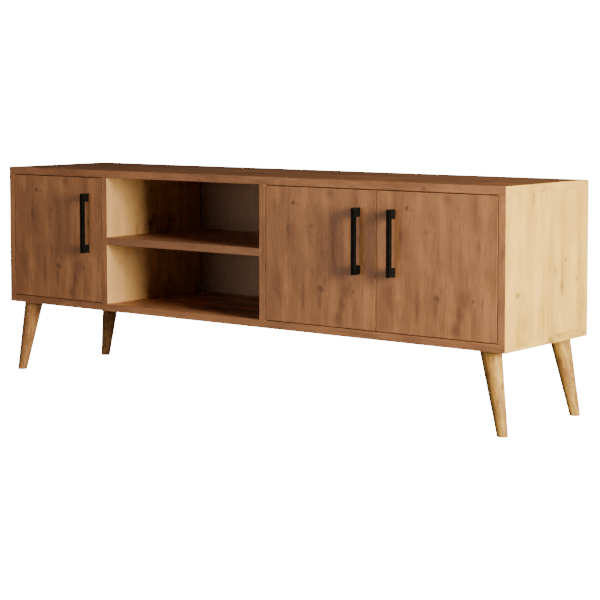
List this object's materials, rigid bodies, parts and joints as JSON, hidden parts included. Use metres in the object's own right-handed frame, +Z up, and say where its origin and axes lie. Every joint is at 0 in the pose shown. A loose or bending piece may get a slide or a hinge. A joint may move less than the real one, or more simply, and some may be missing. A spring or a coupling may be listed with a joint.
{
  "type": "tv stand with doors",
  "caption": "Low wide TV stand on splayed tapered legs, with hinged cupboard doors at both ends, an open shelved bay between them and slim bar handles.",
  "frame": {"origin": "on the floor, at the centre of the footprint including the handles", "axes": "+X to the right seen from the front, +Y to the back, +Z up; the doors face -Y"},
  "size_m": [1.5, 0.376, 0.53],
  "materials": {
    "carcass_board": "satin melamine board with a warm pine wood print, matching edge band",
    "door_board": "satin melamine board with a warm pine wood print, grain upright",
    "back_board": "printed thin fibreboard",
    "leg_wood": "turned solid wood, satin lacquer",
    "black_metal": "satin black powder coat",
    "plated_steel": "nickel-plated pressed steel",
    "zinc_fittings": "bright zinc plate",
    "dowel_wood": "raw fluted beech"
  },
  "bodies": {
    "carcass": {"top_panel": "carcass_board", "bottom_panel": "carcass_board", "left_side_panel": "carcass_board", "right_side_panel": "carcass_board", "left_divider": "carcass_board", "right_divider": "carcass_board", "middle_shelf": "carcass_board", "back_board_left": "back_board", "back_board_middle": "back_board", "back_board_right": "back_board", "back_nails": "zinc_fittings", "dowels": "dowel_wood", "cam_bolts": "zinc_fittings", "cam_locks": "zinc_fittings", "leg_front_left": "leg_wood", "leg_front_right": "leg_wood", "leg_back_left": "leg_wood", "leg_back_right": "leg_wood", "leg_bolts": "zinc_fittings", "leg_inserts": "zinc_fittings", "left_hinge_plates": "plated_steel", "centre_hinge_plates": "plated_steel", "right_hinge_plates": "plated_steel", "plate_screws": "zinc_fittings", "left_hinge_arms": "plated_steel", "centre_hinge_arms": "plated_steel", "right_hinge_arms": "plated_steel", "arm_screws": "zinc_fittings", "link_pins": "zinc_fittings"},
    "left_leaf": {"left_door": "door_board", "left_handle": "black_metal", "left_handle_screws": "zinc_fittings", "left_hinge_cups": "plated_steel", "left_cup_screws": "zinc_fittings"},
    "left_links": {"left_hinge_links": "plated_steel"},
    "centre_leaf": {"centre_door": "door_board", "centre_handle": "black_metal", "centre_handle_screws": "zinc_fittings", "centre_hinge_cups": "plated_steel", "centre_cup_screws": "zinc_fittings"},
    "centre_links": {"centre_hinge_links": "plated_steel"},
    "right_leaf": {"right_door": "door_board", "right_handle": "black_metal", "right_handle_screws": "zinc_fittings", "right_hinge_cups": "plated_steel", "right_cup_screws": "zinc_fittings"},
    "right_links": {"right_hinge_links": "plated_steel"}
  },
  "joints": [
    {"name": "left_door_hinge", "type": "hinge", "parent": "carcass", "child": "left_leaf", "pos_m": [-0.731, -0.165, 0.355], "axis": [0, 0, -1], "range_deg": [0, 95]},
    {"name": "centre_door_hinge", "type": "hinge", "parent": "carcass", "child": "centre_leaf", "pos_m": [0.107, -0.165, 0.355], "axis": [0, 0, -1], "range_deg": [0, 95]},
    {"name": "right_door_hinge", "type": "hinge", "parent": "carcass", "child": "right_leaf", "pos_m": [0.731, -0.165, 0.355], "axis": [0, 0, 1], "range_deg": [0, 95]},
    {"name": "left_link_swing", "type": "hinge", "parent": "carcass", "child": "left_links", "pos_m": [-0.7097, -0.1555, 0.355], "axis": [0, 0, -1], "range_deg": [0, 91]},
    {"name": "centre_link_swing", "type": "hinge", "parent": "carcass", "child": "centre_links", "pos_m": [0.1283, -0.1555, 0.355], "axis": [0, 0, -1], "range_deg": [0, 91]},
    {"name": "right_link_swing", "type": "hinge", "parent": "carcass", "child": "right_links", "pos_m": [0.7097, -0.1555, 0.355], "axis": [0, 0, 1], "range_deg": [0, 91]}
  ],
  "couplings": [
    {"joint": "left_link_swing", "follows": "left_door_hinge", "ratio": 0.95},
    {"joint": "centre_link_swing", "follows": "centre_door_hinge", "ratio": 0.95},
    {"joint": "right_link_swing", "follows": "right_door_hinge", "ratio": 0.95}
  ]
}
